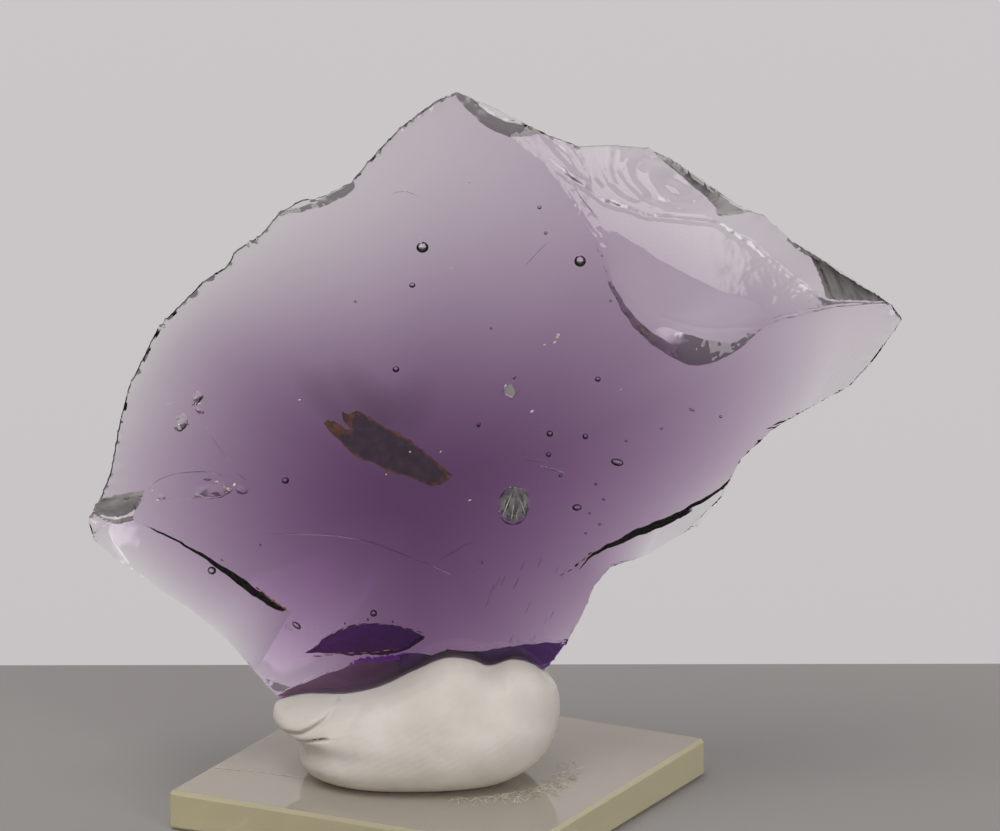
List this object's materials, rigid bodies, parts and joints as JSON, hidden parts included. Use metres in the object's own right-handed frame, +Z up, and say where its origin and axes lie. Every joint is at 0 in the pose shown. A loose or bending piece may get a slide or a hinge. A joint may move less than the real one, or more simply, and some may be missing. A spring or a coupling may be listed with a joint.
{
  "type": "andara glass specimen on display stand",
  "caption": "Thin translucent purple glass flake with flaked edges, pressed into a lump of white putty on a clear yellowed square base.",
  "frame": {"origin": "centre of the base's underside, where it rests", "axes": "+X along the flake's broad face to its right-hand tip, -Y out of the flake's front face, +Z up"},
  "size_m": [0.0635, 0.0426, 0.0583],
  "materials": {
    "purple_glass": "fractured glass, clear at the thin rim and deep purple where thick",
    "white_putty": "soft matte putty with finger marks",
    "yellowed_acrylic": "clear acrylic, polished, slightly yellowed and scratched"
  },
  "bodies": {
    "root": {"glass_flake": "purple_glass", "putty_lump": "white_putty", "acrylic_base": "yellowed_acrylic"}
  },
  "joints": []
}
